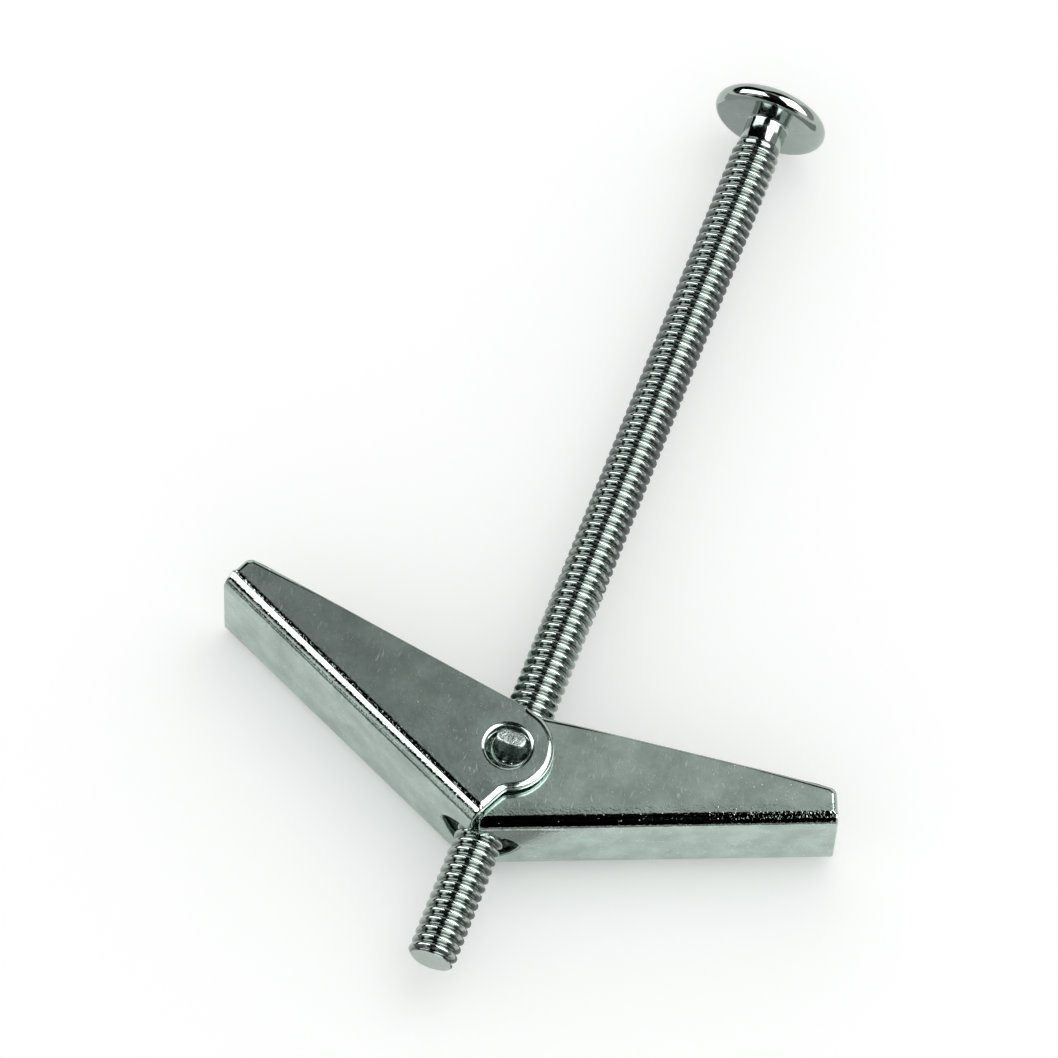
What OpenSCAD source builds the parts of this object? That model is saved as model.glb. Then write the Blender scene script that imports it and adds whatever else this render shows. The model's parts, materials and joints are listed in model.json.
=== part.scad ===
// Spring toggle bolt: a long machine screw with a mushroom head, a flat trunnion nut on its thread,
// and two folded sheet wings that pivot on the nut's tabs and are held open by a wire spring.
// The bolt lies on a table: +Y runs along the screw to its head, +X to the inner wing,
// +Z is up along the wings' pivot. The origin is under the middle of the screw.

/* [Screw] */
// Length of the screw from its tip to the underside of its head
screw_length = 126.3; // [80:0.1:180]
// Outer diameter of the thread
thread_d = 6.35; // [5:0.05:6.6]
// Length of the bevel at the screw's tip
tip_bevel = 0.6; // [0.2:0.1:1]
// Diameter of the smooth neck under the head
neck_d = 5.6; // [4.5:0.1:6]
// Length of the smooth neck under the head
neck_length = 3.1; // [2:0.1:8]
// Diameter of the head
head_d = 15.3; // [12:0.1:17]
// Height of the head
head_h = 4.35; // [3:0.05:5]
// Radius of the rounded rim of the head
rim_r = 1.2; // [0.5:0.05:1.5]
// Width of the screwdriver slot
slot_w = 1.6; // [1:0.1:2.4]
// Depth of the screwdriver slot
slot_depth = 1.8; // [1:0.1:2.2]

/* [Nut] */
// Distance from the screw's tip to the wings' pivot
pivot_from_tip = 27.6; // [16:0.1:60]
// Thickness of the nut's strip
nut_t = 2.2; // [1.8:0.1:2.4]
// Diameter of the nut's round middle
nut_d = 10; // [9:0.1:11]
// Wall of the nut beside its bore, at each shoulder
nut_wall = 0.725; // [0.5:0.025:1.2]
// Width of a tab
tab_w = 4; // [3.6:0.1:4.2]
// Distance of the nut from the middle of the ear holes, towards the head
nut_offset = 1.3; // [0.8:0.05:1.4]
// Depth of the tabs' ends below the outer ears
tab_recess = 0.15; // [0.05:0.05:0.6]
// Radial clearance of the nut on the thread
thread_clearance = 0.05; // [0.02:0.01:0.08]

/* [Wings] */
// Thickness of the wings' sheet
sheet = 1.15; // [0.8:0.05:1.2]
// Reach of a wing from its pivot to its tip, along the web
wing_reach = 41.7; // [34:0.1:52]
// Gap between the ears of the two wings
ear_gap = 0.8; // [0.3:0.05:1.2]
// Distance from the pivot to the outer face of the web
web_distance = 10.35; // [9.8:0.05:12]
// Angle between a flange's free edge and the web
taper = 15.6; // [14:0.1:17]
// Radius of the round ear about the pivot
ear_r = 5.85; // [5.2:0.05:6.4]
// Radius of the fillet between the ear and the root edge
ear_fillet = 1.2; // [0.6:0.1:2]
// Radius of the hole in an ear
hole_r = 2.9; // [2.85:0.05:3.3]
// Radius of the rolled rim of that hole
hole_roll = 0.5; // [0.2:0.05:0.7]
// Outer bend radius of the inner wing
inner_bend_r = 1.7; // [1.4:0.1:2.4]
// Outer bend radius of the outer wing
outer_bend_r = 2.45; // [1.4:0.1:3]
// Radius of the rounded corner at a flange's tip
tip_corner_r = 1.2; // [0.4:0.1:1.6]
// Angle of the inner wing's web when open
inner_angle = 22; // [18:0.1:28]
// Angle of the outer wing's web when open
outer_angle = 25.3; // [18:0.1:28]
// Gap between the two webs where they meet behind the nut
butt_gap = 0.2; // [0.1:0.05:0.6]
// Clearance of the pointed notch beside the screw
notch_side = 0.55; // [0.4:0.05:1]
// Length of the pointed notch in a web
notch_length = 5.3; // [5:0.1:7]

/* [Spring] */
// Diameter of the spring's wire
wire_d = 0.6; // [0.4:0.05:0.65]
// Clearance of a coil around its tab
coil_clearance = 0.13; // [0.05:0.01:0.3]
// Clearance of a coil beside the nut and beside the ear
coil_side = 0.07; // [0.03:0.01:0.1]
// Height of a coil, in diameters of its wire
coil_height = 2.35; // [2.3:0.05:3]
// Reach of the spring's legs along the webs
leg_reach = 14; // [9:0.5:18]
// Corner radius of the bridge between the two long legs
bridge_r = 1.2; // [0.8:0.1:1.6]

/* [Hidden] */
$fn = 48;

through = 1;
thread_r = thread_d / 2;
bore_r = thread_r + thread_clearance;
nut_middle = 2 * (bore_r + nut_wall);
inner_width = nut_middle + 2 * (coil_height * wire_d + 2 * coil_side + sheet);
outer_width = inner_width + 2 * (sheet + ear_gap);
lying_height = outer_width / 2;
tip_y = -(screw_length + head_h) / 2;
pivot = [0, tip_y + pivot_from_tip, lying_height];

head_r = head_d / 2;
rim_x = head_r - rim_r;
dome_r = (rim_x * rim_x + pow(head_h - rim_r, 2) - rim_r * rim_r) / (2 * (head_h - 2 * rim_r));
dome_join_x = rim_x * dome_r / (dome_r - rim_r);

// The webs meet face to face in a plane through the pivot, halfway between the wings.
half_angle = (inner_angle + outer_angle) / 2;
web_inside = web_distance - sheet;
web_root = -web_inside * tan(half_angle) + butt_gap / 2 / cos(half_angle);

notch_half = thread_r + notch_side;
notch_arc_r = (pow(notch_length, 2) + pow(notch_half, 2)) / (2 * notch_half);

wire_r = wire_d / 2;
coil_r = tab_w / 2 + coil_clearance + wire_r;
coil_low_z = nut_middle / 2 + coil_side + wire_r;
coil_high_z = inner_width / 2 - sheet - coil_side - wire_r;
leg_gap = 0.05;
wire_sides = 10;
coil_step = 18;
corner_steps = 4;

// Screw: threaded rod, smooth neck and slotted mushroom head in one piece, drawn up from the tip
module rod_profile() {
    polygon([
        [0, 0],
        [thread_r - tip_bevel, 0],
        [thread_r, tip_bevel],
        [thread_r, screw_length - neck_length],
        [neck_d / 2, screw_length - neck_length],
        [neck_d / 2, screw_length + rim_r],
        [0, screw_length + rim_r]
    ]);
}

module head_profile() {
    translate([rim_x, rim_r])
        circle(rim_r);
    intersection() {
        translate([0, head_h - dome_r])
            circle(dome_r, $fn = 120);
        union() {
            square([rim_x, head_h]);
            translate([0, rim_r])
                square([dome_join_x, head_h - rim_r]);
        }
    }
}

module slotted_head() {
    difference() {
        rotate_extrude()
            head_profile();
        translate([-head_r, -slot_w / 2, head_h - slot_depth])
            cube([head_d, slot_w, slot_depth + through]);
    }
}

module screw() {
    color("silver")
    translate([0, tip_y, lying_height])
    rotate([-90, 0, 0]) {
        rotate_extrude()
            rod_profile();
        translate([0, 0, screw_length])
            slotted_head();
    }
}

// Trunnion nut: a flat strip with a round middle around the thread and a round-edged tab at each end
module tab_bar() {
    tab_end = outer_width / 2 - tab_recess;
    flat_half = (tab_w - nut_t) / 2;
    linear_extrude(2 * tab_end, center = true)
        union() {
            square([2 * flat_half, nut_t], center = true);
            for (side = [-1, 1])
                translate([side * flat_half, 0])
                    circle(d = nut_t);
        }
}

module trunnion_nut() {
    color("gainsboro")
    translate(pivot + [0, nut_offset, 0])
    difference() {
        union() {
            tab_bar();
            intersection() {
                rotate([90, 0, 0])
                    cylinder(h = nut_t, d = nut_d, center = true);
                cube([nut_d + through, nut_t + through, nut_middle], center = true);
            }
        }
        rotate([90, 0, 0])
            cylinder(h = nut_t + 2 * through, r = bore_r, center = true);
    }
}

// Wing: sheet folded to a tapered channel. Its x runs along the web from the pivot,
// its y across the web towards the head, and its z along the pivot.
function arc(centre, r, from, to) =
    let (steps = ceil(abs(to - from) * $fn / 360))
    [for (i = [0 : steps])
        let (a = from + (to - from) * i / steps)
        centre + r * [cos(a), sin(a)]];

module side_outline() {
    corner_x = wing_reach - tip_corner_r;
    corner_y = (ear_r - tip_corner_r - corner_x * sin(taper)) / cos(taper);
    fillet_x = web_root - ear_fillet;
    fillet_y = -sqrt(pow(ear_r + ear_fillet, 2) - pow(fillet_x, 2));
    ear_end = atan2(fillet_y, fillet_x) + 360;
    polygon(concat(
        [[web_root, -web_distance], [wing_reach, -web_distance]],
        arc([corner_x, corner_y], tip_corner_r, 0, 90 - taper),
        arc([0, 0], ear_r, 90 - taper, ear_end),
        arc([fillet_x, fillet_y], ear_fillet, ear_end - 180, 0)
    ));
}

module round_bottomed(width, bottom, r) {
    translate([bottom + r, -width / 2])
        square([2 * web_distance, width]);
    translate([bottom, -width / 2 + r])
        square([2 * r, width - 2 * r]);
    for (side = [-1, 1])
        translate([bottom + r, side * (width / 2 - r)])
            circle(r);
}

module channel(width, bend_r) {
    translate([-2 * ear_r, 0, 0])
    rotate([90, 0, 90])
    linear_extrude(wing_reach + 3 * ear_r)
    difference() {
        round_bottomed(width, -web_distance, bend_r);
        round_bottomed(width - 2 * sheet, -web_inside, bend_r - sheet);
    }
}

module rolled_hole(width) {
    cylinder(h = width + 2 * through, r = hole_r, center = true);
    for (side = [0, 1])
        mirror([0, 0, side])
            translate([0, 0, width / 2])
                rotate_extrude()
                    difference() {
                        translate([0, -hole_roll])
                            square([hole_r + hole_roll, hole_roll + through]);
                        translate([hole_r + hole_roll, -hole_roll])
                            circle(hole_roll);
                    }
}

module screw_notch() {
    translate([web_root, -web_distance - through, 0])
        rotate([-90, 0, 0])
            intersection_for (side = [-1, 1])
                translate([0, side * (notch_arc_r - notch_half), 0])
                    cylinder(h = sheet + 2 * through, r = notch_arc_r, $fn = 96);
}

module wing(width, bend_r) {
    difference() {
        intersection() {
            linear_extrude(width, center = true)
                side_outline();
            channel(width, bend_r);
        }
        rolled_hole(width);
        screw_notch();
    }
}

module inner_wing() {
    color("darkgray")
        translate(pivot)
            rotate([0, 0, inner_angle])
                wing(inner_width, inner_bend_r);
}

module outer_wing() {
    color("lightgray")
        translate(pivot)
            mirror([1, 0, 0])
                rotate([0, 0, outer_angle])
                    wing(outer_width, outer_bend_r);
}

// Spring: one wire with a coil round each tab, two short legs in the inner wing and a bridge in the outer one
function unit(v) = v / norm(v);
function coil_point(angle, z) = [coil_r * cos(angle), nut_offset + coil_r * sin(angle), z];
function web_point(side, angle, reach) = [
    side * (reach * cos(angle) + (web_inside - wire_r - leg_gap) * sin(angle)),
    reach * sin(angle) - (web_inside - wire_r - leg_gap) * cos(angle)
];
function leg_angle(end, turn) =
    let (from = end - [0, nut_offset])
    atan2(from[1], from[0]) + turn * acos(coil_r / norm(from));

short_end = web_point(1, inner_angle, leg_reach);
long_end = web_point(-1, outer_angle, leg_reach);
coil_start = leg_angle(short_end, 1);
coil_end = leg_angle(long_end, -1) + (long_end[1] < nut_offset ? 360 : 0) + 360;
coil_count = ceil((coil_end - coil_start) / coil_step);
coil_leave = coil_point(coil_end, coil_low_z);
long_way = unit([long_end[0], long_end[1], coil_low_z] - coil_leave);

half_spring = concat(
    [[short_end[0], short_end[1], coil_high_z]],
    [for (i = [0 : coil_count])
        coil_point(
            coil_start + (coil_end - coil_start) * i / coil_count,
            coil_high_z + (coil_low_z - coil_high_z) * i / coil_count)],
    [for (i = [0 : corner_steps])
        let (a = 90 * i / corner_steps)
        [long_end[0], long_end[1], coil_low_z]
            + long_way * bridge_r * (sin(a) - 1)
            - [0, 0, bridge_r * (1 - cos(a))]]
);
spring_path = concat(
    half_spring,
    [for (i = [len(half_spring) - 1 : -1 : 0])
        [half_spring[i][0], half_spring[i][1], -half_spring[i][2]]]
);

function path_way(path, i) =
    unit(path[min(i + 1, len(path) - 1)] - path[max(i - 1, 0)]);
function square_to(v, way) = unit(v - (v * way) * way);

module wire(path, r, sides) {
    count = len(path);
    across = [
        for (i = 0, v = square_to([0, 0, 1], path_way(path, 0));
             i < count;
             i = i + 1, v = i < count ? square_to(v, path_way(path, i)) : v)
            v
    ];
    points = [
        for (i = [0 : count - 1], k = [0 : sides - 1])
            let (a = 360 * k / sides, beside = cross(path_way(path, i), across[i]))
            path[i] + r * cos(a) * across[i] + r * sin(a) * beside
    ];
    polyhedron(
        points = points,
        faces = concat(
            [[for (k = [0 : sides - 1]) k]],
            [for (i = [0 : count - 2], k = [0 : sides - 1])
                let (next = (k + 1) % sides)
                [i * sides + k, (i + 1) * sides + k, (i + 1) * sides + next, i * sides + next]],
            [[for (k = [sides - 1 : -1 : 0]) (count - 1) * sides + k]]
        ),
        convexity = 6
    );
}

module spring() {
    color("dimgray")
        translate(pivot)
            wire(spring_path, wire_r, wire_sides);
}

screw();
trunnion_nut();
inner_wing();
outer_wing();
spring();
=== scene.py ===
"""Spring toggle bolt: threads, rolled sheet edges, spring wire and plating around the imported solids."""
import json
import math

import bmesh
import bpy
from mathutils import Matrix, Vector


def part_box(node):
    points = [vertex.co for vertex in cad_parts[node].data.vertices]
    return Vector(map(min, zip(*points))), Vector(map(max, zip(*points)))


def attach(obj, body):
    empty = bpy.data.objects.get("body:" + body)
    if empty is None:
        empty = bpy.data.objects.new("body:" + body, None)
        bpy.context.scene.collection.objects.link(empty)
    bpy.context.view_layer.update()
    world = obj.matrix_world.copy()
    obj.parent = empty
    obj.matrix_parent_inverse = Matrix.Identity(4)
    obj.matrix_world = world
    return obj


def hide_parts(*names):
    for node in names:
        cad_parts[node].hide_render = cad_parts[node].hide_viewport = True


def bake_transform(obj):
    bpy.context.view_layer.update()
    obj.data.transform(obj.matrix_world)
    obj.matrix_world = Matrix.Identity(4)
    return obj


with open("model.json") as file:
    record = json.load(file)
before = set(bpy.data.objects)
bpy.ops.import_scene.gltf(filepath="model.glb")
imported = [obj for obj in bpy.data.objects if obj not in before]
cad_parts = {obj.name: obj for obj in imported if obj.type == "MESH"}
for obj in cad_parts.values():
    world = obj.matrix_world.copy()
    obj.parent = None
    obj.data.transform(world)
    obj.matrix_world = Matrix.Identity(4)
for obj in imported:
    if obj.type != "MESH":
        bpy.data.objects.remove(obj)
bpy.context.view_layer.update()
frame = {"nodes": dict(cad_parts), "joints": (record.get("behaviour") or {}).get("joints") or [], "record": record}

bl_info = {
    "name": "Spring Toggle Bolt",
    "version": (1, 0, 0),
    "blender": (4, 5, 0),
    "location": "View3D > Sidebar > Toggle Bolt",
    "description": "Builds a lying spring toggle bolt with a rolled thread, folded wings and a wire spring",
    "category": "Add Mesh",
}

MM = 0.001
FULL_TURN = 2 * math.pi
# Points closer than MERGE become one, and what lies this near a cut or a face counts as on it
MERGE = 0.0001 * MM
NEAR_CUT = 0.001 * MM
NEAR_FACE = 0.05 * MM

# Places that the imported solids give
SCREW_LOW, SCREW_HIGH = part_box("screw")
AXIS_Z = (SCREW_LOW.z + SCREW_HIGH.z) / 2
TIP_Y = SCREW_LOW.y
UNDER_Y = next(m["pos_m"][1] for m in frame["record"]["mounts"] if m["name"] == "head_underside")
HEAD_R = SCREW_HIGH.x
PIVOT = Vector(next(j["pos_m"] for j in frame["joints"] if j["name"] == "inner_wing_fold"))
NUT_LOW, NUT_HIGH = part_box("trunnion_nut")


def length_prop(name, text, value):
    """A length as a property, given in millimetres."""
    return bpy.props.FloatProperty(name=name, description=text, default=value * MM,
                                   min=0.0, precision=5, unit="LENGTH")


def angle_prop(name, text, degrees):
    """An angle as a property, given in degrees."""
    return bpy.props.FloatProperty(name=name, description=text, default=math.radians(degrees),
                                   unit="ROTATION")


def colour_prop(name, text, value):
    """A linear colour as a property."""
    return bpy.props.FloatVectorProperty(name=name, description=text, default=value, size=3,
                                         min=0.0, max=1.0, subtype="COLOR")


class ToggleBoltScrew(bpy.types.PropertyGroup):
    """Sizes of the screw."""
    crest_d: length_prop("Thread diameter", "Diameter over the thread's crests", 6.35)
    crest_r: length_prop("Crest radius", "Radius of the thread's broad crest", 0.42)
    corner_r: length_prop("Corner radius", "Radius between the thread's crest and flank", 0.14)
    root_r: length_prop("Root radius", "Radius at the bottom of the thread", 0.2)
    pitch: length_prop("Pitch", "Distance between two crests", 1.27)
    tip_face_d: length_prop("Tip face", "Diameter of the flat face at the tip", 5.5)
    tip_slope: length_prop("Tip bevel", "Length of the bevel at the tip", 0.55)
    neck_d: length_prop("Neck diameter", "Diameter of the smooth neck", 5.6)
    neck_length: length_prop("Neck length", "Length of the smooth neck", 3.1)
    head_h: length_prop("Head height", "Height of the head over its underside", 4.35)
    rim_r: length_prop("Rim radius", "Radius of the head's rounded rim", 1.2)
    slot_w: length_prop("Slot width", "Width of the driver slot", 1.6)
    slot_depth: length_prop("Slot depth", "Depth of the driver slot", 1.8)


class ToggleBoltWings(bpy.types.PropertyGroup):
    """Sizes of the folded wings and of the spring between them."""
    sheet: length_prop("Sheet", "Thickness of the wings' sheet", 1.15)
    reach: length_prop("Reach", "Distance from the pivot to a wing's tip", 41.7)
    web_distance: length_prop("Web distance", "Distance from the pivot to a web's outer face", 10.35)
    ear_r: length_prop("Ear radius", "Radius of the round ears", 5.85)
    edge_roll: length_prop("Edge roll", "Radius of the rolled sheet edges", 0.28)
    ear_roll: length_prop("Ear roll", "Width of the rolled edge round an ear, its hole and its root", 0.9)
    tip_roll: length_prop("Tip roll", "Width of the rolled edge at a wing's tip", 0.8)
    roll_depth: bpy.props.FloatProperty(name="Roll depth", default=0.65, min=0.1, max=1.0,
                                        description="Depth of an ear's roll, as a share of its width")
    bend_r: length_prop("Bend radius", "Largest outer radius of the bends", 2.45)
    inner_angle: angle_prop("Inner wing", "Angle of the inner wing's web when open", 22.0)
    outer_angle: angle_prop("Outer wing", "Angle of the outer wing's web when open", 25.3)
    wire_d: length_prop("Wire", "Diameter of the spring's wire", 0.6)
    leg_reach: length_prop("Leg reach", "Reach of the spring's legs along the webs", 14.0)
    coil_r: length_prop("Coil radius", "Radius of the wire's middle round a tab", 2.43)
    coil_ahead: length_prop("Coil offset", "Distance of the coils' axis ahead of the pivot", 1.3)
    coil_low: length_prop("Coil foot", "Height of a coil's long leg over the screw's axis", 4.32)
    coil_high: length_prop("Coil top", "Height of a coil's short leg over the screw's axis", 5.13)
    bridge_r: length_prop("Bridge radius", "Corner radius of the wire bridge", 1.2)


class ToggleBoltFinish(bpy.types.PropertyGroup):
    """Colours of the plating, the wire and the stage."""
    bright: colour_prop("Bright plating", "Plating of the screw", (0.385, 0.445, 0.42))
    # The outer wing's colour is darker than the inner wing's only as painted shade: both wings are the same plated
    # steel
    outer: colour_prop("Outer wing", "Plating of the outer wing", (0.37, 0.455, 0.42))
    inner: colour_prop("Inner wing", "Plating of the inner wing", (0.42, 0.515, 0.47))
    sheared: colour_prop("Sheared ends", "Plating over the nut's sheared ends", (0.38, 0.44, 0.42))
    wire: colour_prop("Wire", "Drawn wire of the spring", (0.36, 0.42, 0.40))
    floor: colour_prop("Floor", "The pale floor", (0.93, 0.94, 0.93))


# Mesh helpers

def deselect_all():
    """Nothing is selected or active afterwards."""
    if bpy.context.object and bpy.context.object.mode != "OBJECT":
        bpy.ops.object.mode_set(mode="OBJECT")
    bpy.ops.object.select_all(action="DESELECT")
    bpy.context.view_layer.objects.active = None


def take(*objects):
    """Selects these objects alone, with the first one active."""
    deselect_all()
    for obj in objects:
        obj.select_set(True)
    bpy.context.view_layer.objects.active = objects[0]


def mesh_object(name, verts, edges=(), faces=()):
    """A new mesh object at the origin."""
    mesh = bpy.data.meshes.new(name)
    mesh.from_pydata([tuple(v) for v in verts], list(edges), list(faces))
    obj = bpy.data.objects.new(name, mesh)
    bpy.context.scene.collection.objects.link(obj)
    return obj


def apply_modifier(obj, kind, **settings):
    """Adds a modifier with these settings and applies it."""
    take(obj)
    modifier = obj.modifiers.new(kind.title(), kind)
    for key, value in settings.items():
        setattr(modifier, key, value)
    bpy.ops.object.modifier_apply(modifier=modifier.name)


def edit_all(obj):
    """Edit mode with everything selected."""
    take(obj)
    bpy.ops.object.mode_set(mode="EDIT")
    bpy.ops.mesh.select_all(action="SELECT")


def edit_selected(obj, kind, test):
    """Edit mode with only the edges or faces selected that pass the test."""
    take(obj)
    bpy.ops.object.mode_set(mode="EDIT")
    bpy.ops.mesh.select_mode(type=kind)
    bpy.ops.mesh.select_all(action="DESELECT")
    mesh = bmesh.from_edit_mesh(obj.data)
    chosen = [item for item in {"EDGE": mesh.edges, "FACE": mesh.faces}[kind] if test(item)]
    if not chosen:
        raise RuntimeError(f"{obj.name}: nothing to select as {kind}")
    for item in chosen:
        item.select_set(True)
    mesh.select_flush_mode()
    bmesh.update_edit_mesh(obj.data)


def leave_edit():
    """Back to object mode."""
    bpy.ops.object.mode_set(mode="OBJECT")


def sharp(edge, degrees=40):
    """Whether two faces meet at this edge at more than this angle."""
    return len(edge.link_faces) == 2 and edge.calc_face_angle(0) > math.radians(degrees)


def at_cut(item, y):
    """Whether an edge or a face lies at this place along the screw."""
    return all(abs(v.co.y - y) < NEAR_CUT for v in item.verts)


def bevel_edges(obj, test, width, segments, clamp=False):
    """Rounds the edges that pass the test."""
    edit_selected(obj, "EDGE", test)
    bpy.ops.mesh.bevel(offset=width, segments=segments, profile=0.5, clamp_overlap=clamp)
    leave_edit()


def clean_mesh(obj):
    """Merges doubles and turns all normals outwards."""
    edit_all(obj)
    bpy.ops.mesh.remove_doubles(threshold=MERGE)
    bpy.ops.mesh.normals_make_consistent(inside=False)
    leave_edit()


def smooth(obj, degrees, weighted=False):
    """Smooth shading up to this angle. Weighted normals keep large faces looking flat."""
    take(obj)
    bpy.ops.object.shade_smooth_by_angle(angle=math.radians(degrees))
    if weighted:
        apply_modifier(obj, "WEIGHTED_NORMAL", mode="FACE_AREA", weight=50, keep_sharp=True)


def coat(obj, material):
    """The object gets this material alone."""
    obj.data.materials.clear()
    obj.data.materials.append(bpy.data.materials[material])


def dress(obj, body, material, node):
    """The piece gets its body, its finish and the node that it stands for."""
    coat(obj, material)
    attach(obj, body)
    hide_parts(node)


# Node helpers

def new_group(name, inputs, outputs):
    """A shader node group with float, colour and vector sockets."""
    group = bpy.data.node_groups.new(name, "ShaderNodeTree")
    for label, kind, default in inputs:
        socket = group.interface.new_socket(label, in_out="INPUT", socket_type=kind)
        if default is not None:
            socket.default_value = default
    for label, kind in outputs:
        group.interface.new_socket(label, in_out="OUTPUT", socket_type=kind)
    return group, group.nodes.new("NodeGroupInput"), group.nodes.new("NodeGroupOutput")


def add_node(tree, kind, inputs=None, **settings):
    """A node with its settings, and its inputs linked or set."""
    node = tree.nodes.new(kind)
    for key, value in settings.items():
        setattr(node, key, value)
    for key, value in (inputs or {}).items():
        if isinstance(value, bpy.types.NodeSocket):
            tree.links.new(value, node.inputs[key])
        else:
            node.inputs[key].default_value = value
    return node


def empty_tree(owner):
    """The node tree of a new material or world, with nothing in it."""
    owner.use_nodes = True
    owner.node_tree.nodes.clear()
    return owner.node_tree


def add_group(tree, name, inputs):
    """A node that holds the shared group of this name."""
    return add_node(tree, "ShaderNodeGroup", inputs, node_tree=bpy.data.node_groups[name])


def maths(tree, operation, a, b=0.0, clamp=False):
    """The result of a Math node."""
    node = add_node(tree, "ShaderNodeMath", {0: a, 1: b}, operation=operation, use_clamp=clamp)
    return node.outputs[0]


def remap(tree, value, low, high, to_low=0.0, to_high=1.0):
    """The value carried from one range to another, and held inside it."""
    node = add_node(tree, "ShaderNodeMapRange", {"Value": value, "From Min": low, "From Max": high,
                                                 "To Min": to_low, "To Max": to_high})
    return node.outputs["Result"]


def vector_maths(tree, operation, a, b=(0.0, 0.0, 0.0)):
    """A Vector Math node."""
    return add_node(tree, "ShaderNodeVectorMath", {0: a, 1: b}, operation=operation)


def noise(tree, vector, scale, detail, roughness=0.5):
    """The value of a noise texture."""
    node = add_node(tree, "ShaderNodeTexNoise", {"Vector": vector, "Scale": scale, "Detail": detail,
                                                 "Roughness": roughness})
    return node.outputs["Fac"]


def spun(tree, vector, angle, centre=(0.0, 0.0, 0.0)):
    """The place turned about an upright axis through the centre."""
    node = add_node(tree, "ShaderNodeVectorRotate", {"Vector": vector, "Center": centre, "Angle": angle},
                    rotation_type="Z_AXIS")
    return node.outputs[0]


def mixed(tree, share, first, second):
    """A colour between two others. The Mix node's colours are its inputs 6 and 7 and its output 2."""
    node = add_node(tree, "ShaderNodeMix", {"Factor": share, 6: first, 7: second}, data_type="RGBA")
    return node.outputs[2]


# Finishes

# Clouds: the noise over which they go from dark to light. Grain: how much finer it is than the
# clouds, and the noise over which it goes from smooth to rough
CLOUD_RANGE = (0.35, 0.65)
GRAIN_FINENESS = 9.0
GRAIN_RANGE = (0.3, 0.7)
# Specks: their radii in cells, the share of a radius that is rubbed bare, and their strengths. They
# crowd in patches, given in cells for each metre, the noise over which they begin, and their shares
SPECK_RADII = (0.14, 0.34)
SPECK_CORE = 0.4
SPECK_STRENGTHS = (0.3, 1.0)
SPECK_PATCHES = 190.0
SPECK_PATCH_RANGE = (0.42, 0.62)
SPECK_SHARES = (0.15, 2.0)
# Scratches: the ridges of their noise, the turn between their two ways, and their patches
SCRATCH_RIDGES = (0.62, 0.74)
CROSS_TURN = 0.5
SCRATCH_PATCHES = 170.0
SCRATCH_PATCH_RANGE = (0.44, 0.6)
SCRATCH_SHARES = (0.1, 1.0)
# Worn bends: the width of their soft edge, and the cells for each metre of their relief
WEAR_EDGE = 0.5 * MM
RELIEF_CELLS = 3000.0
# Colours of a rubbed spot and of a pit
BARE = (0.95, 0.97, 0.96, 1.0)
PIT = (0.02, 0.025, 0.022, 1.0)
# Marks are strengths from 0 to 1, sizes in cells for each metre, and heights in millimetres.
SHEET_MARKS = {"roughness": 0.14, "rough_spread": 0.03, "cloud_size": 230.0, "cloud": 0.16,
               "speck_density": 2600.0, "speck_share": 0.45, "speck": 0.75, "spot": BARE,
               "scratch_turn": -0.45, "scratch": 0.4, "wave": 0.03, "grain": 0.0014,
               "speck_height": 0.006, "scratch_depth": 0.002, "bend_polish": 0.4, "bend_relief": 0.02}
# On the screw, the last value is the share of its colour that the painted shade in the thread's groove leaves at
# the root
SCREW_MARKS = {"roughness": 0.10, "rough_spread": 0.04, "cloud_size": 420.0, "cloud": 0.05,
               "speck_density": 1200.0, "speck_share": 0.05, "speck": 0.3, "spot": BARE,
               "scratch_turn": 1.2, "scratch": 0.2, "wave": 0.012, "grain": 0.0015,
               "speck_height": 0.003, "scratch_depth": 0.001, "painted_groove_shade": 0.38}
NUT_MARKS = {"roughness": 0.26, "rough_spread": 0.08, "cloud_size": 900.0, "cloud": 0.3,
             "speck_density": 1150.0, "speck_share": 0.7, "speck": 0.95, "spot": PIT,
             "scratch_turn": 0.9, "scratch": 0.3, "wave": 0.2, "grain": 0.03,
             "speck_height": -0.06, "scratch_depth": 0.02}
WIRE_MARKS = {"roughness": 0.25, "rough_spread": 0.05, "cloud_size": 600.0, "cloud": 0.1,
              "speck_density": 2500.0, "speck_share": 0.05, "speck": 0.2, "spot": BARE,
              "scratch_turn": 0.0, "scratch": 0.2, "wave": 0.004, "grain": 0.002,
              "speck_height": 0.0, "scratch_depth": 0.001}


def cloudy_group():
    """Soft uneven tone, as on plated steel: cloudy patches with finer grain in them."""
    group, given, out = new_group(
        "Cloudy plating",
        [("Vector", "NodeSocketVector", None), ("Size", "NodeSocketFloat", 300.0)],
        [("Cloud", "NodeSocketFloat"), ("Grain", "NodeSocketFloat")])
    place, size = given.outputs["Vector"], given.outputs["Size"]
    fine = maths(group, "MULTIPLY", size, GRAIN_FINENESS)
    group.links.new(noise(group, place, size, detail=4.0, roughness=0.55), out.inputs["Cloud"])
    group.links.new(noise(group, place, fine, detail=3.0, roughness=0.6), out.inputs["Grain"])


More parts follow.
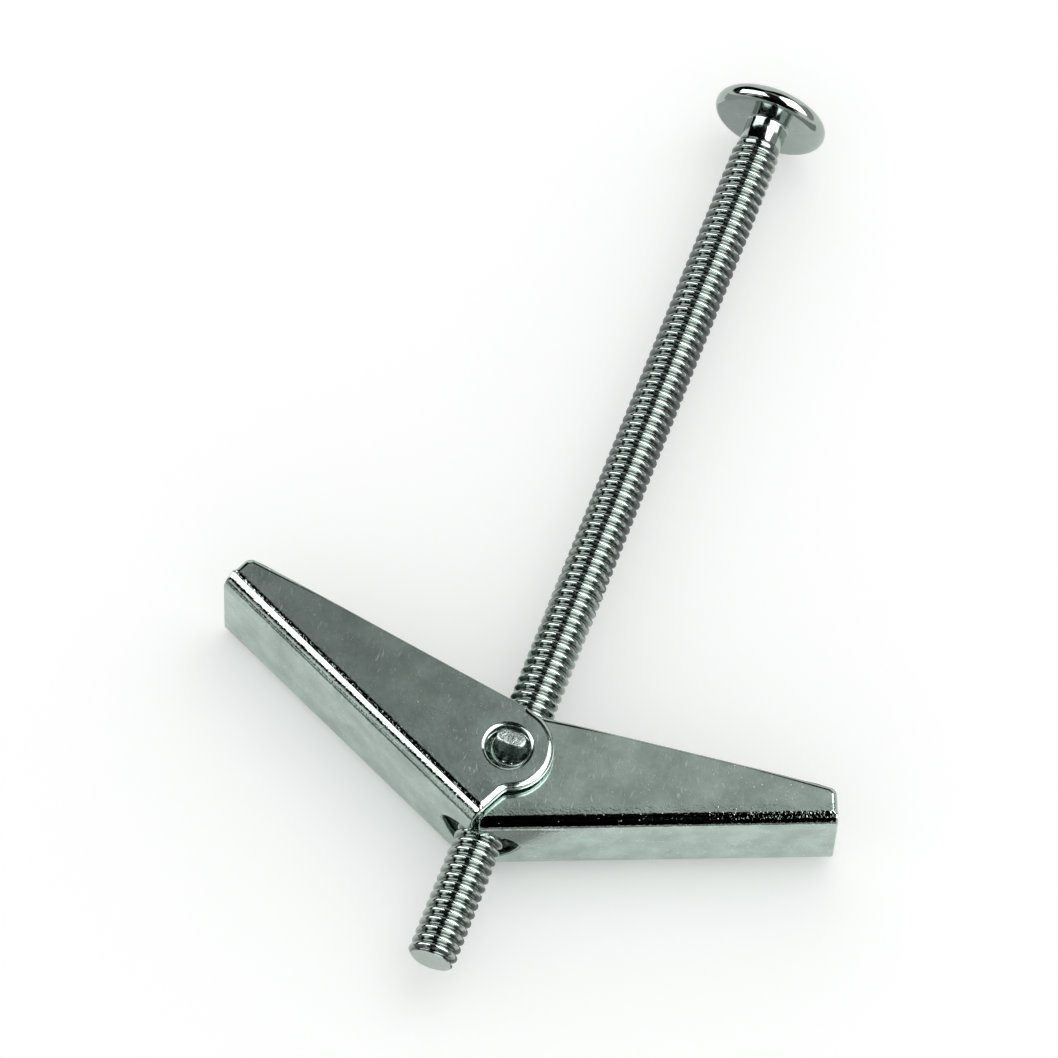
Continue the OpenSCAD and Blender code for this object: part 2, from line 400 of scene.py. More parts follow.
def specks_group():
    """Small rubbed specks with soft edges, of varied size and crowded into patches."""
    group, given, out = new_group(
        "Rubbed specks",
        [("Vector", "NodeSocketVector", None), ("Density", "NodeSocketFloat", 900.0),
         ("Share", "NodeSocketFloat", 0.2)],
        [("Mask", "NodeSocketFloat")])
    place = given.outputs["Vector"]
    cells = add_node(group, "ShaderNodeTexVoronoi",
                     {"Vector": place, "Scale": given.outputs["Density"], "Randomness": 1.0})
    chance = add_node(group, "ShaderNodeSeparateColor", {"Color": cells.outputs["Color"]})
    size = remap(group, chance.outputs[1], 0.0, 1.0, *SPECK_RADII)
    dot = remap(group, cells.outputs["Distance"], size, maths(group, "MULTIPLY", size, SPECK_CORE))
    patches = noise(group, place, SPECK_PATCHES, detail=2.0)
    crowding = remap(group, patches, *SPECK_PATCH_RANGE, *SPECK_SHARES)
    share = maths(group, "MULTIPLY", given.outputs["Share"], crowding)
    chosen = maths(group, "LESS_THAN", chance.outputs[0], share)
    strength = remap(group, chance.outputs[2], 0.0, 1.0, *SPECK_STRENGTHS)
    mask = maths(group, "MULTIPLY", maths(group, "MULTIPLY", dot, chosen, clamp=True), strength)
    group.links.new(mask, out.inputs["Mask"])


def scratches_group():
    """Fine scratches in patches: thin ridges of a noise that is stretched along one direction."""
    group, given, out = new_group(
        "Fine scratches",
        [("Vector", "NodeSocketVector", None), ("Width", "NodeSocketFloat", 2500.0),
         ("Length", "NodeSocketFloat", 620.0), ("Turn", "NodeSocketFloat", 0.0)],
        [("Mask", "NodeSocketFloat")])
    place, width, length = (given.outputs[label] for label in ("Vector", "Width", "Length"))
    stretch = add_node(group, "ShaderNodeCombineXYZ", {"X": width, "Y": length, "Z": width})
    scaled = vector_maths(group, "MULTIPLY", spun(group, place, given.outputs["Turn"]), stretch.outputs[0])
    ridges = remap(group, noise(group, scaled.outputs[0], 1.0, detail=2.0), *SCRATCH_RIDGES)
    patches = noise(group, place, SCRATCH_PATCHES, detail=2.0)
    crowding = remap(group, patches, *SCRATCH_PATCH_RANGE, *SCRATCH_SHARES)
    group.links.new(maths(group, "MULTIPLY", ridges, crowding), out.inputs["Mask"])


def worn_bends_group():
    """The rubbed band along a wing's bends, with the ragged relief that folding leaves in the plating."""
    group, given, out = new_group(
        "Worn bends",
        [("Vector", "NodeSocketVector", None), ("Turn", "NodeSocketFloat", 0.0),
         ("Flange line", "NodeSocketFloat", -0.008), ("Web line", "NodeSocketFloat", 0.006)],
        [("Mask", "NodeSocketFloat"), ("Relief", "NodeSocketFloat")])
    flange_line, web_line = given.outputs["Flange line"], given.outputs["Web line"]
    opened = spun(group, given.outputs["Vector"], given.outputs["Turn"], PIVOT)
    place = add_node(group, "ShaderNodeSeparateXYZ", {"Vector": opened})
    across = maths(group, "SUBTRACT", place.outputs["Y"], PIVOT.y)
    height = maths(group, "ABSOLUTE", maths(group, "SUBTRACT", place.outputs["Z"], AXIS_Z))
    from_flange = remap(group, across, maths(group, "ADD", flange_line, WEAR_EDGE), flange_line)
    from_web = remap(group, height, maths(group, "SUBTRACT", web_line, WEAR_EDGE), web_line)
    relief = noise(group, given.outputs["Vector"], RELIEF_CELLS, detail=2.0, roughness=0.6)
    group.links.new(maths(group, "MULTIPLY", from_flange, from_web), out.inputs["Mask"])
    group.links.new(maths(group, "SUBTRACT", relief, 0.5), out.inputs["Relief"])


def plated_material(name, colour, marks, bends=None, painted_groove_shade=None):
    """Plated steel with clouds, specks and scratches.

    marks gives its roughness and the size, strength and height of its marks, and bends the turn, flange
    line and web line of a wing's worn bends. The last argument gives the painted shade in the thread's
    groove: the thread's start and end and the two radii between which the shade fades out."""
    material = bpy.data.materials.new(name)
    tree = empty_tree(material)
    place = add_node(tree, "ShaderNodeTexCoord").outputs["Object"]
    cloudy = add_group(tree, "Cloudy plating", {"Vector": place, "Size": marks["cloud_size"]})
    specks = add_group(tree, "Rubbed specks", {"Vector": place, "Density": marks["speck_density"],
                                               "Share": marks["speck_share"]})
    turns = (marks["scratch_turn"], marks["scratch_turn"] + CROSS_TURN)
    ways = [add_group(tree, "Fine scratches", {"Vector": place, "Turn": turn}) for turn in turns]
    cloud, grain, speck = cloudy.outputs["Cloud"], cloudy.outputs["Grain"], specks.outputs["Mask"]
    line = maths(tree, "MAXIMUM", *(way.outputs["Mask"] for way in ways))

    dark = tuple(c * (1 - marks["cloud"]) for c in colour) + (1.0,)
    light = tuple(min(1.0, c * (1 + marks["cloud"])) for c in colour) + (1.0,)
    tone = mixed(tree, remap(tree, cloud, *CLOUD_RANGE), dark, light)
    rubbed = maths(tree, "MAXIMUM", maths(tree, "MULTIPLY", speck, marks["speck"]),
                   maths(tree, "MULTIPLY", line, marks["scratch"]), clamp=True)
    base = mixed(tree, rubbed, tone, marks["spot"])
    # Painted shade: the plating is darkened in the thread's groove, most at its root, but not at the tip or the
    # neck
    if painted_groove_shade:
        start, end, dark_r, plain_r = painted_groove_shade
        centred = vector_maths(tree, "SUBTRACT", place, (0.0, 0.0, AXIS_Z)).outputs[0]
        flat = vector_maths(tree, "MULTIPLY", centred, (1.0, 0.0, 1.0)).outputs[0]
        radius = vector_maths(tree, "LENGTH", flat).outputs["Value"]
        along = add_node(tree, "ShaderNodeSeparateXYZ", {"Vector": place}).outputs["Y"]
        beyond = maths(tree, "MAXIMUM", maths(tree, "LESS_THAN", along, start),
                       maths(tree, "GREATER_THAN", along, end))
        shade = maths(tree, "MAXIMUM", beyond, remap(tree, radius, dark_r, plain_r, marks["painted_groove_shade"], 1.0))
        base = add_node(tree, "ShaderNodeVectorMath", {0: base, "Scale": shade}, operation="SCALE").outputs[0]

    rough, spread = marks["roughness"], marks["rough_spread"]
    worn = maths(tree, "SUBTRACT", remap(tree, grain, *GRAIN_RANGE, rough - spread, rough + spread),
                 maths(tree, "MULTIPLY", line, marks["scratch"] * rough))
    height = maths(tree, "ADD", maths(tree, "MULTIPLY", cloud, marks["wave"]),
                   maths(tree, "MULTIPLY", grain, marks["grain"]))
    height = maths(tree, "ADD", height, maths(tree, "MULTIPLY", speck, marks["speck_height"]))
    height = maths(tree, "SUBTRACT", height, maths(tree, "MULTIPLY", line, marks["scratch_depth"]))
    if bends:
        labels = ("Turn", "Flange line", "Web line")
        worn_bends = add_group(tree, "Worn bends", {"Vector": place, **dict(zip(labels, bends))})
        band = worn_bends.outputs["Mask"]
        worn = maths(tree, "MULTIPLY", worn, remap(tree, band, 0.0, 1.0, 1.0, marks["bend_polish"]))
        ragged = maths(tree, "MULTIPLY", band, worn_bends.outputs["Relief"])
        height = maths(tree, "ADD", height, maths(tree, "MULTIPLY", ragged, marks["bend_relief"]))
    bump = add_node(tree, "ShaderNodeBump", {"Height": height, "Strength": 1.0, "Distance": MM})
    shader = add_node(tree, "ShaderNodeBsdfPrincipled", {"Base Color": base, "Metallic": 1.0,
                                                         "Roughness": worn, "Normal": bump.outputs[0]})
    add_node(tree, "ShaderNodeOutputMaterial", {"Surface": shader.outputs[0]})


class TOGGLE_OT_materials(bpy.types.Operator):
    """Make the plated materials of the bolt"""
    bl_idname = "toggle_bolt.materials"
    bl_label = "Plating"

    # Depths under the thread's crest between which the painted shade in its groove fades out
    GROOVE_SHADE_DEEP = 0.45 * MM
    GROOVE_SHADE_SHALLOW = 0.1 * MM

    def execute(self, context):
        finish = context.scene.toggle_finish
        wings = context.scene.toggle_wings
        screw = context.scene.toggle_screw
        for build_group in (cloudy_group, specks_group, scratches_group, worn_bends_group):
            build_group()
        crest = screw.crest_d / 2
        plated_material("bright_plating", finish.bright, SCREW_MARKS,
                        painted_groove_shade=(TIP_Y + screw.tip_slope / 4, UNDER_Y - screw.neck_length,
                                crest - self.GROOVE_SHADE_DEEP, crest - self.GROOVE_SHADE_SHALLOW))
        # The outer sheet's darker colour is painted shade
        for name, colour, node, turn in (
                ("plated_outer_sheet_painted_shade", finish.outer, "outer_wing", wings.outer_angle),
                ("plated_inner_sheet", finish.inner, "inner_wing", -wings.inner_angle)):
            low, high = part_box(node)
            bends = (turn, wings.bend_r - wings.web_distance, (high.z - low.z) / 2 - wings.bend_r)
            plated_material(name, colour, SHEET_MARKS, bends=bends)
        plated_material("sheared_plating", finish.sheared, NUT_MARKS)
        plated_material("drawn_wire", finish.wire, WIRE_MARKS)
        return {"FINISHED"}


def wound(name, profile, steps, **settings):
    """A surface turned or wound about the y axis from (radius, y) points."""
    obj = mesh_object(name, [(r, y, 0.0) for r, y in profile],
                      [(i, i + 1) for i in range(len(profile) - 1)])
    apply_modifier(obj, "SCREW", axis="Y", angle=FULL_TURN, steps=steps, render_steps=steps, **settings)
    return obj


def arc(centre, radius, start, end, steps):
    """Points of an arc, with its angles in degrees."""
    points = []
    for i in range(steps + 1):
        a = math.radians(start + (end - start) * i / steps)
        points.append((centre[0] + radius * math.cos(a), centre[1] + radius * math.sin(a)))
    return points


class TOGGLE_OT_screw(bpy.types.Operator):
    """Build the screw with its rolled thread, smooth neck and slotted mushroom head"""
    bl_idname = "toggle_bolt.screw"
    bl_label = "Screw"

    SIDES = 48
    # Slopes in degrees where the crest ends and along the flank, and the parts of each arc
    CREST_TURN = 20
    FLANK_TURN = 60
    CREST_PARTS = 2
    CORNER_PARTS = 2
    ROOT_PARTS = 3
    # Turns over which the thread runs out into the neck
    FADE_TURNS = 1.6
    # Fillet between neck and head, and the parts of the head's arcs
    NECK_FILLET = 0.35 * MM
    FILLET_PARTS = 4
    RIM_PARTS = 14
    DOME_PARTS = 26
    # Edges sharper than this many degrees are the slot's, and get a fine roll
    SLOT_EDGE_ANGLE = 50
    SLOT_EDGE_ROLL = 0.12 * MM
    TIP_INSET = 0.12 * MM

    def pitch_outline(self, screw):
        """One pitch of the rolled thread, from crest to crest, as (way along, radius) points.

        A broad, slightly round crest turns over a small radius into a straight flank at 30 degrees,
        and the flank into a round root. The flank's length follows from the pitch."""
        arcs = ((screw.crest_r, 0, self.CREST_TURN, self.CREST_PARTS),
                (screw.corner_r, self.CREST_TURN, self.FLANK_TURN, self.CORNER_PARTS),
                (-screw.root_r, self.FLANK_TURN, 0, self.ROOT_PARTS))
        flank = screw.pitch / 2 - sum(r * (math.sin(math.radians(end)) - math.sin(math.radians(start)))
                                      for r, start, end, parts in arcs)
        half = [(0.0, screw.crest_d / 2)]
        for r, start, end, parts in arcs:
            y, radius = half[-1]
            # The straight flank runs down to the hollow root
            if r < 0:
                y, radius = y + flank, radius - flank * math.tan(math.radians(start))
                half.append((y, radius))
            first = math.radians(start)
            for i in range(1, parts + 1):
                turn = math.radians(start + (end - start) * i / parts)
                half.append((y + r * (math.sin(turn) - math.sin(first)),
                             radius + r * (math.cos(turn) - math.cos(first))))
        return half + [(screw.pitch - y, r) for y, r in half[-2::-1]]

    def thread(self, screw, start, end):
        """The helical surface over one pitch, wound along the screw and cut square at both ends."""
        turns = math.ceil((end - start) / screw.pitch) + 2
        profile = [(r, start - screw.pitch + y) for y, r in self.pitch_outline(screw)]
        obj = wound("threaded_screw", profile, self.SIDES, screw_offset=screw.pitch, iterations=turns,
                    use_merge_vertices=False)
        clean_mesh(obj)
        for y, low_side in ((start, True), (end, False)):
            edit_all(obj)
            bpy.ops.mesh.bisect(plane_co=(0, y, 0), plane_no=(0, 1, 0), clear_inner=low_side,
                                clear_outer=not low_side, use_fill=False, threshold=NEAR_CUT)
            leave_edit()
        return obj

    def shape_ends(self, obj, screw, neck_y):
        """The thread tapers off at the tip's bevel and runs out into the neck."""
        neck = screw.neck_d / 2
        fade = self.FADE_TURNS * screw.pitch
        for v in obj.data.vertices:
            r = math.hypot(v.co.x, v.co.z)
            bevel = screw.tip_face_d / 2 + (v.co.y - TIP_Y) / screw.tip_slope * (
                screw.crest_d - screw.tip_face_d) / 2
            limit = min(r, bevel)
            share = min(1.0, max(0.0, (v.co.y - (neck_y - fade)) / fade))
            eased = share * share * (3 - 2 * share)
            limit += (neck - limit) * eased
            v.co.x *= limit / r
            v.co.z *= limit / r

    def head(self, screw, neck_y):
        """Neck and mushroom head, turned in one outline, with the slot cut across."""
        under, top = UNDER_Y, UNDER_Y + screw.head_h
        rim_x = HEAD_R - screw.rim_r
        h, r = screw.head_h, screw.rim_r
        # Radius of the dome that runs smoothly into the rim, and the rim's angle where they join
        dome = (rim_x ** 2 + (h - r) ** 2 - r ** 2) / (2 * (h - 2 * r))
        join = math.degrees(math.atan2(r - h + dome, rim_x))
        neck = screw.neck_d / 2
        fillet = self.NECK_FILLET
        outline = [(neck, neck_y)]
        outline += arc((neck + fillet, under - fillet), fillet, 180, 90, self.FILLET_PARTS)
        outline += arc((rim_x, under + r), r, -90, join, self.RIM_PARTS)
        outline += arc((0.0, top - dome), dome, join, 90, self.DOME_PARTS)[1:]
        obj = wound("screw_head", outline, self.SIDES, screw_offset=0.0, iterations=1,
                    use_merge_vertices=True, merge_threshold=NEAR_CUT)
        clean_mesh(obj)
        edit_selected(obj, "EDGE", lambda e: e.is_boundary)
        bpy.ops.mesh.edge_face_add()
        bpy.ops.mesh.select_all(action="SELECT")
        bpy.ops.mesh.normals_make_consistent(inside=False)
        leave_edit()
        deselect_all()
        bpy.ops.mesh.primitive_cube_add(size=1.0, location=(0, top, 0))
        cutter = bpy.context.object
        cutter.scale = (3 * HEAD_R, 2 * screw.slot_depth, screw.slot_w)
        bpy.ops.object.transform_apply(location=True, rotation=True, scale=True)
        take(obj)
        apply_modifier(obj, "BOOLEAN", operation="DIFFERENCE", object=cutter, solver="EXACT")
        bpy.data.objects.remove(cutter)
        edit_selected(obj, "FACE", lambda f: at_cut(f, neck_y))
        bpy.ops.mesh.delete(type="ONLY_FACE")
        leave_edit()
        bevel_edges(obj, lambda e: sharp(e, self.SLOT_EDGE_ANGLE), self.SLOT_EDGE_ROLL,
                    segments=2, clamp=True)
        return obj

    def execute(self, context):
        screw = context.scene.toggle_screw
        neck_y = UNDER_Y - screw.neck_length
        rod = self.thread(screw, TIP_Y, neck_y)
        self.shape_ends(rod, screw, neck_y)
        head = self.head(screw, neck_y)
        take(rod, head)
        bpy.ops.object.join()
        rod = context.view_layer.objects.active
        edit_selected(rod, "EDGE", lambda e: e.is_boundary and at_cut(e, neck_y))
        bpy.ops.mesh.bridge_edge_loops()
        leave_edit()
        edit_selected(rod, "EDGE", lambda e: e.is_boundary and at_cut(e, TIP_Y))
        bpy.ops.mesh.edge_face_add()
        bpy.ops.mesh.inset(thickness=self.TIP_INSET, depth=0.0)
        leave_edit()
        rod.data.transform(Matrix.Translation((0, 0, AXIS_Z)))
        clean_mesh(rod)
        smooth(rod, degrees=50)
        dress(rod, "screw", "bright_plating", "screw")
        return {"FINISHED"}


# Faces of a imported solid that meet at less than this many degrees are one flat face
FLAT_ANGLE = 0.6


def solid_copy(node, name):
    """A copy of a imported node's mesh with its doubles merged and its flat faces whole."""
    obj = bpy.data.objects.new(name, frame["nodes"][node].data.copy())
    bpy.context.scene.collection.objects.link(obj)
    obj.data.materials.clear()
    edit_all(obj)
    bpy.ops.mesh.remove_doubles(threshold=2 * NEAR_CUT)
    bpy.ops.mesh.dissolve_limited(angle_limit=math.radians(FLAT_ANGLE), use_dissolve_boundaries=False)
    leave_edit()
    if obj.data.has_custom_normals:
        bpy.ops.mesh.customdata_custom_splitnormals_clear()
    return obj


class TOGGLE_OT_wings(bpy.types.Operator):
    """Build the two folded wings with their rolled sheet edges"""
    bl_idname = "toggle_bolt.wings"
    bl_label = "Wings"

    EAR_PARTS = 8
    TIP_PARTS = 6
    EDGE_PARTS = 3
    # Length of a wing at its tip in which all the outer edges get the tip's roll
    TIP_ZONE = 3 * MM

    def wing(self, wings, node, side, angle, material):
        """One wing: the outer edges round its ears and its tip are rolled wide, and the others finely."""
        low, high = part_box(node)
        obj = solid_copy(node, "folded_" + node)

        def local(v):
            """A vertex along the wing from the pivot, and across it towards the head."""
            x, y = side * (v.co.x - PIVOT.x), v.co.y - PIVOT.y
            return x * math.cos(angle) + y * math.sin(angle), y * math.cos(angle) - x * math.sin(angle)

        def depth(v):
            return min(high.z - v.co.z, v.co.z - low.z)

        def outer(e):
            return sharp(e) and all(depth(v) < NEAR_FACE for v in e.verts)

        def at_ear(e):
            return all(local(v)[0] < wings.ear_r + NEAR_FACE for v in e.verts)

        def at_tip(e):
            return all(local(v)[0] > wings.reach - self.TIP_ZONE for v in e.verts)

        bevel_edges(obj, lambda e: outer(e) and at_ear(e), wings.ear_roll, self.EAR_PARTS)
        # The wide roll is made shallower on the flanges, while the bends keep their form
        bend_start = wings.bend_r - wings.web_distance + NEAR_FACE
        for v in obj.data.vertices:
            if NEAR_FACE < depth(v) <= wings.ear_roll + NEAR_FACE and local(v)[1] > bend_start:
                shift = depth(v) * (1 - wings.roll_depth)
                v.co.z += shift if v.co.z > PIVOT.z else -shift
        bevel_edges(obj, lambda e: outer(e) and at_tip(e), wings.tip_roll, self.TIP_PARTS)
        bevel_edges(obj, sharp, wings.edge_roll, self.EDGE_PARTS)
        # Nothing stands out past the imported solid
        for v in obj.data.vertices:
            v.co.z = min(high.z, max(low.z, v.co.z))
        clean_mesh(obj)
        smooth(obj, degrees=35, weighted=True)
        dress(obj, node, material, node)

    def execute(self, context):
        wings = context.scene.toggle_wings
        self.wing(wings, "inner_wing", 1, wings.inner_angle, "plated_inner_sheet")
        self.wing(wings, "outer_wing", -1, wings.outer_angle, "plated_outer_sheet_painted_shade")
        return {"FINISHED"}


class TOGGLE_OT_nut(bpy.types.Operator):
    """Build the trunnion nut with its rolled edges and sheared tab ends"""
    bl_idname = "toggle_bolt.nut"
    bl_label = "Nut"

    TAB_END_ROLL = 0.45 * MM
    TAB_END_PARTS = 4
    EDGE_ROLL = 0.15 * MM
    EDGE_PARTS = 2

    def execute(self, context):
        obj = solid_copy("trunnion_nut", "sheared_nut")

        def tab_end(e):
            return all(min(NUT_HIGH.z - v.co.z, v.co.z - NUT_LOW.z) < NEAR_FACE for v in e.verts)

        bevel_edges(obj, lambda e: sharp(e) and tab_end(e), self.TAB_END_ROLL, self.TAB_END_PARTS)
        bevel_edges(obj, sharp, self.EDGE_ROLL, self.EDGE_PARTS, clamp=True)
        clean_mesh(obj)
        smooth(obj, degrees=40, weighted=True)
        dress(obj, "nut", "sheared_plating", "trunnion_nut")
        return {"FINISHED"}


class TOGGLE_OT_spring(bpy.types.Operator):
    """Wind the spring: coils with short legs, and the long legs with their bridge"""
    bl_idname = "toggle_bolt.spring"
    bl_label = "Spring"

    # Degrees of a coil for each straight piece of its path, and pieces of a bridge's corner
    COIL_STEP = 7.5
    CORNER_STEPS = 8
    WIRE_ROUNDNESS = 4
    WEB_CLEARANCE = 0.05 * MM

    def mirrored(self, points):
        """The same points on the other side of the screw's axis."""
        return [Vector((p.x, p.y, -p.z)) for p in points]

    def paths(self, wings):
        """Points about the pivot: the upper coil with its short leg, and the long legs with the bridge."""
        wire_r = wings.wire_d / 2
        web_inside = wings.web_distance - wings.sheet
        beside = web_inside - wire_r - self.WEB_CLEARANCE

        def web_point(side, angle):
            """End of a leg that lies on the web at this angle."""
            return Vector((side * (wings.leg_reach * math.cos(angle) + beside * math.sin(angle)),
                           wings.leg_reach * math.sin(angle) - beside * math.cos(angle)))

        hub = Vector((0, wings.coil_ahead))
        short_end = web_point(1, wings.inner_angle)
        long_end = web_point(-1, wings.outer_angle)

        def leave_angle(end, turn):
            """Angle in degrees at which the wire leaves its coil straight towards this end."""
            way = end - hub
            return math.degrees(math.atan2(way.y, way.x) + turn * math.acos(wings.coil_r / way.length))

        first = leave_angle(short_end, 1)
        last = leave_angle(long_end, -1) + (360 if long_end.y < hub.y else 0) + 360
        count = math.ceil((last - first) / self.COIL_STEP)
        coil = [Vector((*short_end, wings.coil_high))]
        for i in range(count + 1):
            a = math.radians(first + (last - first) * i / count)
            z = wings.coil_high + (wings.coil_low - wings.coil_high) * i / count
            coil.append(Vector((wings.coil_r * math.cos(a), hub.y + wings.coil_r * math.sin(a), z)))
        leave = coil[-1]
        corner = Vector((*long_end, wings.coil_low))
        way = (corner - leave).normalized()
        leg = [leave]
        for i in range(self.CORNER_STEPS + 1):
            a = math.pi / 2 * i / self.CORNER_STEPS
            leg.append(corner + way * wings.bridge_r * (math.sin(a) - 1)
                       - Vector((0, 0, wings.bridge_r * (1 - math.cos(a)))))
        return coil, leg + self.mirrored(leg)[::-1]

    def wire(self, name, routes, wings):
        """One mesh from round wires along these routes."""
        curve = bpy.data.curves.new(name, "CURVE")
        curve.dimensions = "3D"
        curve.bevel_depth = wings.wire_d / 2
        curve.bevel_resolution = self.WIRE_ROUNDNESS
        curve.use_fill_caps = True
        for route in routes:
            spline = curve.splines.new("POLY")
            spline.points.add(len(route) - 1)
            for point, place in zip(spline.points, route):
                point.co = (*(PIVOT + place), 1.0)
        obj = bpy.data.objects.new(name, curve)
        bpy.context.scene.collection.objects.link(obj)
        take(obj)
        bpy.ops.object.convert(target="MESH")
        obj = bpy.context.view_layer.objects.active
        clean_mesh(obj)
        smooth(obj, degrees=50)
        coat(obj, "drawn_wire")
        return obj

    def execute(self, context):
        wings = context.scene.toggle_wings
        coil, legs = self.paths(wings)
        # The legs run out to their wing's web from coils a few millimetres beside the pivot
        coils = self.wire("wound_coils", (coil, self.mirrored(coil)), wings)
        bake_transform(coils)
        bridge = self.wire("bridged_legs", (legs,), wings)
        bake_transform(bridge)
        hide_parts("spring")
        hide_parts("spring")
        return {"FINISHED"}


def facing(place, target):
    """The turn with which a lamp at this place shines down at the target."""
    back = (Vector(place) - Vector(target)).normalized()
    right = Vector((0, 1, 0)).cross(back).normalized()
    return Matrix((right, back.cross(right), back)).transposed().to_4x4()


class TOGGLE_OT_stage(bpy.types.Operator):
    """Lay the pale floor, hang the lamp and the cards, and set the camera"""
    bl_idname = "toggle_bolt.stage"
    bl_label = "Stage"

    # Camera fitted to the photograph: its axes in the bolt's frame, its place from the pivot along
    # them, and its focal length and the photograph's side in pixels
    RIGHT = Vector((0.93682, 0.34883, 0.02613))
    UP = Vector((-0.32904, 0.85341, 0.40426))
    BACK = Vector((0.11872, -0.38731, 0.91427))
    ASIDE = Vector((2.876, 30.973, 1044.66)) * MM
    FOCAL_PX = 8176.9
    PHOTO_PX = 1058
    SENSOR = 36.0
    FLOOR_SIZE = 6.0
    # Brightness of the room for matt surfaces, and of the floor's own glow
    ROOM_LIGHT = 0.75
    FLOOR_GLOW = 0.22
    # The one lamp: place, width, height and brightness
    OVERHEAD = ((0.15, 0.25, 0.8), 0.6, 0.5, 0.9)

    # Cards that only the metal sees, about the camera's upward axis: name, bearing from the camera,
    # half width, lower and upper edge in degrees, distance in metres, and brightness. A dark one is a flag.
    CARDS = (
        ("right_softbox", 37, 24, -26, 41, 0.56, 5.6),
        ("left_softbox", -49, 28, 0, 38, 0.56, 4.8),
        ("left_gap_flag", -58, 30, -12, 0, 0.6, 0.0),
        ("middle_flag", -3, 36, -50, 50, 0.66, 0.0),
        ("upper_left_flag", -62, 48, 22, 72, 0.66, 0.0),
        ("upper_right_flag", 30, 46, 22, 72, 0.66, 0.0),
        ("far_left_flag", -92, 24, -25, 35, 0.66, 0.0),
        ("far_right_flag", 85, 30, -35, 35, 0.66, 0.4),
    )
    # The same about an upright axis, with the bearing from the screw's tip
    LOW_CARDS = (("front_low_flag", -2, 34, -1, 30, 0.64, 0.0),)
    # Level cards in millimetres: name, near left corner, far right corner, height, and brightness.
    # The first two hang over the wings, and the others lie on the floor.
    LEVEL_CARDS = (
        ("right_wing_card", (-62, 112), (70, 208), 470, 0.58),
        ("left_wing_card", (-200, 112), (-62, 208), 470, 0.36),
        ("right_floor_flag", (3, -12), (60, 50), 0.2, 0.35),
        ("left_floor_flag", (-60, -12), (-1, 52), 0.2, 0.5),
        ("stub_floor_flag", (2, -68), (14, -50), 0.2, 0.35),
        ("head_floor_flag", (-14, 51.5), (0.5, 60.7), 0.2, 0.6),
        ("front_floor_flag", (-200, -260), (200, -78), 0.2, 0.25),
    )

    def camera(self, context):
        axes = Matrix((self.RIGHT, self.UP, self.BACK)).transposed()
        data = bpy.data.cameras.new("photo_camera")
        data.sensor_width = self.SENSOR
        data.lens = self.FOCAL_PX / self.PHOTO_PX * self.SENSOR
        data.clip_end = 10
        camera = bpy.data.objects.new("photo_camera", data)
        context.scene.collection.objects.link(camera)
        camera.matrix_world = Matrix.Translation(PIVOT + axes @ self.ASIDE) @ axes.to_4x4()
        context.scene.camera = camera

    def seen(self, tree):
        """1 for what the camera sees, directly, in metal or through glass, and else 0."""
        ray = add_node(tree, "ShaderNodeLightPath")
        seen = maths(tree, "MAXIMUM", ray.outputs["Is Camera Ray"], ray.outputs["Is Glossy Ray"])
        return maths(tree, "MAXIMUM", seen, ray.outputs["Is Transmission Ray"])

    def world(self, context):
        context.scene.world = bpy.data.worlds.new("pale_room")
        tree = empty_tree(context.scene.world)
        strength = remap(tree, self.seen(tree), 0.0, 1.0, self.ROOM_LIGHT, 1.0)
        back = add_node(tree, "ShaderNodeBackground", {"Color": (1, 1, 1, 1), "Strength": strength})
        add_node(tree, "ShaderNodeOutputWorld", {"Surface": back.outputs[0]})

    def floor(self, context):
        """The floor is pale by its colour, with a little glow that only camera and metal see."""
        deselect_all()
        bpy.ops.mesh.primitive_plane_add(size=self.FLOOR_SIZE, location=(0, 0, 0))
        floor = bpy.context.object
        floor.name = "pale_floor"
        tree = empty_tree(bpy.data.materials.new("pale_floor"))
        shade = add_node(tree, "ShaderNodeBsdfDiffuse",
                         {"Color": (*context.scene.toggle_finish.floor, 1.0)})
        strength = maths(tree, "MULTIPLY", self.seen(tree), self.FLOOR_GLOW)
        glow = add_node(tree, "ShaderNodeEmission", {"Color": (1, 1, 1, 1), "Strength": strength})
        both = add_node(tree, "ShaderNodeAddShader", {0: shade.outputs[0], 1: glow.outputs[0]})
        add_node(tree, "ShaderNodeOutputMaterial", {"Surface": both.outputs[0]})
        coat(floor, "pale_floor")

    def card(self, name, corners, brightness):
        """A flat card that shows only in the metal's reflections."""
        obj = mesh_object(name, corners, faces=[(0, 1, 2, 3)])
        tree = empty_tree(bpy.data.materials.new(name))
        glow = add_node(tree, "ShaderNodeEmission", {"Color": (1, 1, 1, 1), "Strength": brightness})
        add_node(tree, "ShaderNodeOutputMaterial", {"Surface": glow.outputs[0]})
        coat(obj, name)
        obj.visible_camera = False
        obj.visible_diffuse = False
        obj.visible_shadow = False

    def standing_card(self, axes, name, bearing, half_width, lowest, highest, distance, brightness):
        """A card that stands along the middle one of three axes, at a bearing about it."""
        right, up, back = axes
        turn = math.radians(bearing)
        way = back * math.cos(turn) + right * math.sin(turn)
        side = right * math.cos(turn) - back * math.sin(turn)
        middle = Vector((0.0, 0.0, AXIS_Z))
        reach, foot, top = (math.tan(math.radians(edge)) for edge in (half_width, lowest, highest))
        corners = [middle + distance * (way + x * side + y * up)
                   for x, y in ((-reach, foot), (reach, foot), (reach, top), (-reach, top))]
        self.card(name, corners, brightness)

    def softbox(self, context, name, place, width, height, brightness):
        """An area lamp with an even brightness over its face, which only matt surfaces see."""
        data = bpy.data.lights.new(name, "AREA")
        data.shape = "RECTANGLE"
        data.size, data.size_y = width, height
        data.energy = brightness * math.pi * width * height
        lamp = bpy.data.objects.new(name, data)
        context.scene.collection.objects.link(lamp)
        lamp.matrix_world = Matrix.Translation(place) @ facing(place, (0, 0, AXIS_Z))
        lamp.visible_glossy = False

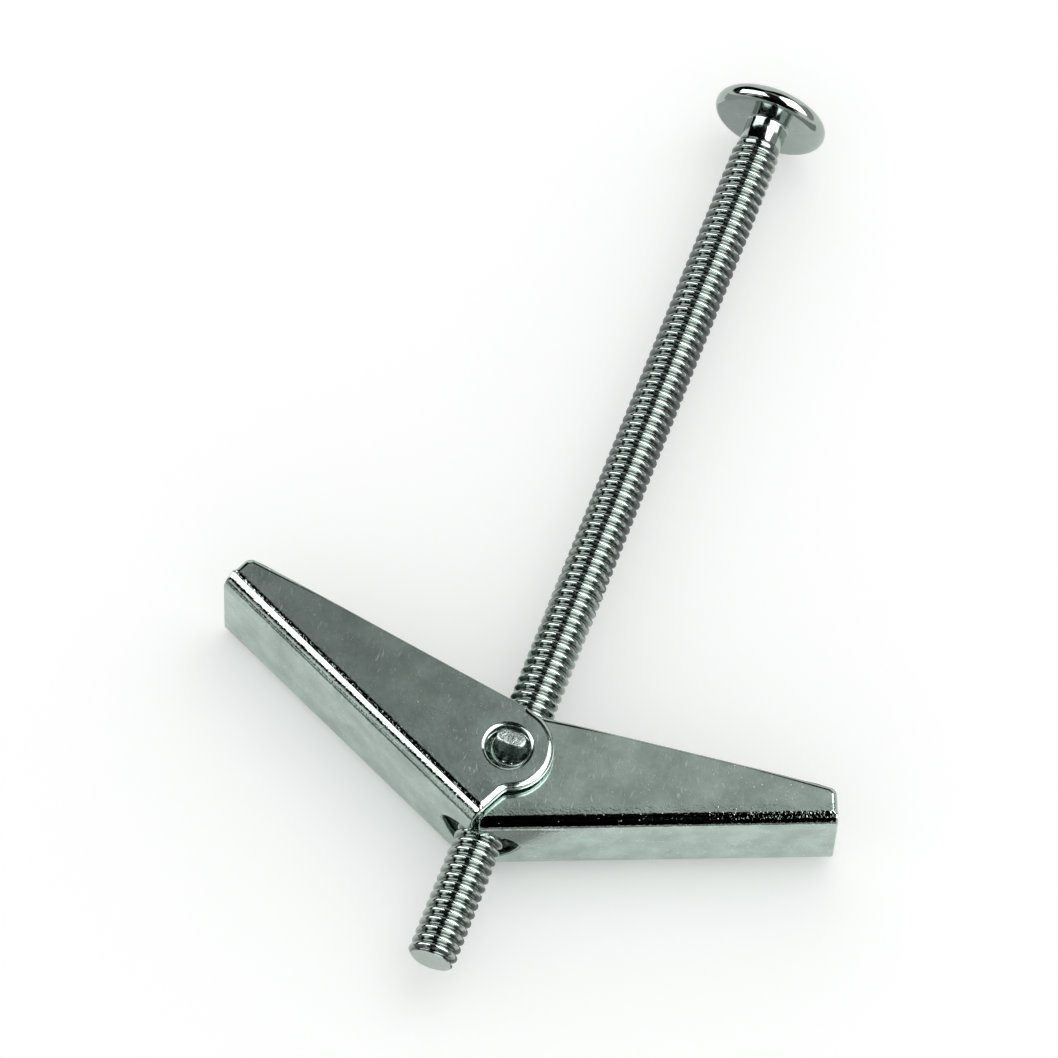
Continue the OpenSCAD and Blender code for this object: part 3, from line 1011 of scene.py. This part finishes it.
    def execute(self, context):
        self.camera(context)
        self.world(context)
        self.floor(context)
        self.softbox(context, "overhead_softbox", *self.OVERHEAD)
        for settings in self.CARDS:
            self.standing_card((self.RIGHT, self.UP, self.BACK), *settings)
        level = (Vector((1, 0, 0)), Vector((0, 0, 1)), Vector((0, -1, 0)))
        for settings in self.LOW_CARDS:
            self.standing_card(level, *settings)
        for name, (x0, y0), (x1, y1), z, brightness in self.LEVEL_CARDS:
            corners = [Vector(p) * MM for p in ((x0, y0, z), (x1, y0, z), (x1, y1, z), (x0, y1, z))]
            self.card(name, corners, brightness)
        return {"FINISHED"}


class TOGGLE_PT_panel(bpy.types.Panel):
    """Lists the steps that build the bolt"""
    bl_idname = "TOGGLE_PT_panel"
    bl_label = "Toggle Bolt"
    bl_space_type = "VIEW_3D"
    bl_region_type = "UI"
    bl_category = "Toggle Bolt"

    def draw(self, context):
        for step in STEPS:
            self.layout.operator(step.bl_idname)
        for name in GROUPS:
            group = getattr(context.scene, name)
            box = self.layout.box()
            for key in group.__annotations__:
                box.prop(group, key)


STEPS = (TOGGLE_OT_materials, TOGGLE_OT_screw, TOGGLE_OT_wings, TOGGLE_OT_nut, TOGGLE_OT_spring,
         TOGGLE_OT_stage)
GROUPS = {"toggle_screw": ToggleBoltScrew, "toggle_wings": ToggleBoltWings,
          "toggle_finish": ToggleBoltFinish}


def register():
    for group in GROUPS.values():
        bpy.utils.register_class(group)
    for step in STEPS:
        bpy.utils.register_class(step)
    bpy.utils.register_class(TOGGLE_PT_panel)
    for name, group in GROUPS.items():
        setattr(bpy.types.Scene, name, bpy.props.PointerProperty(type=group))


def unregister():
    for name in GROUPS:
        delattr(bpy.types.Scene, name)
    bpy.utils.unregister_class(TOGGLE_PT_panel)
    for step in reversed(STEPS):
        bpy.utils.unregister_class(step)
    for group in GROUPS.values():
        bpy.utils.unregister_class(group)


def main():
    register()
    bpy.context.scene.view_settings.view_transform = "Standard"
    bpy.ops.toggle_bolt.materials()
    bpy.ops.toggle_bolt.screw()
    bpy.ops.toggle_bolt.wings()
    bpy.ops.toggle_bolt.nut()
    bpy.ops.toggle_bolt.spring()
    bpy.ops.toggle_bolt.stage()


if __name__ == "__main__":
    main()
